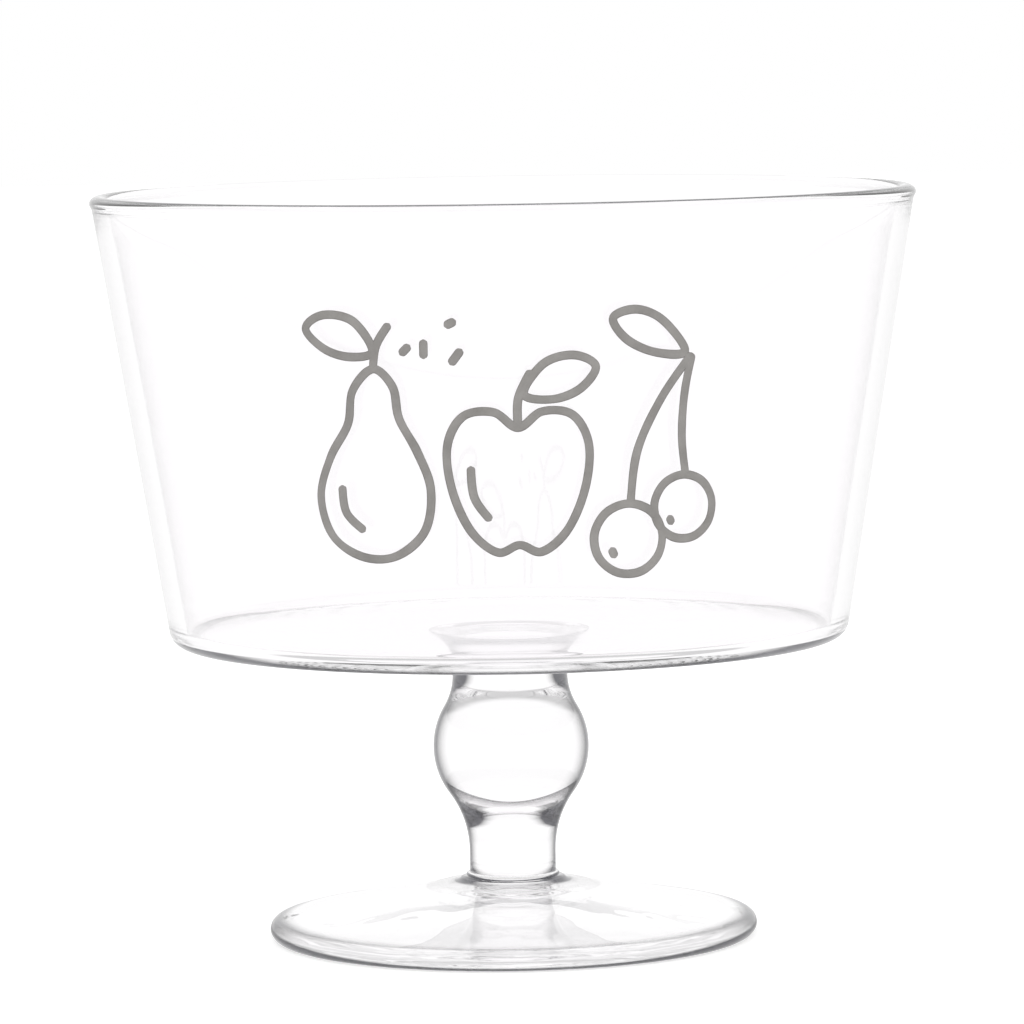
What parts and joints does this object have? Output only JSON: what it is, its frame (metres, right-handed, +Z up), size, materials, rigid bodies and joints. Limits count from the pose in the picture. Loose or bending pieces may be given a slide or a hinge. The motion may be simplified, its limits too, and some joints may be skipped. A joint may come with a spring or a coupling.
{
  "type": "footed fruit bowl",
  "caption": "Clear glass fruit bowl with a straight flared wall and beaded rim, on a solid round-knopped stem and a shallow conical foot, for serving fruit or layered desserts.",
  "frame": {"origin": "on the turning axis, on the surface that the foot stands on", "axes": "+Z up along the turning axis; -Y is the printed front of the bowl"},
  "size_m": [0.215, 0.215, 0.1958],
  "materials": {
    "clear_glass": "fire-polished",
    "enamel_print": "satin fired enamel"
  },
  "bodies": {
    "root": {"bowl": "clear_glass", "stem": "clear_glass", "foot": "clear_glass"}
  },
  "joints": []
}
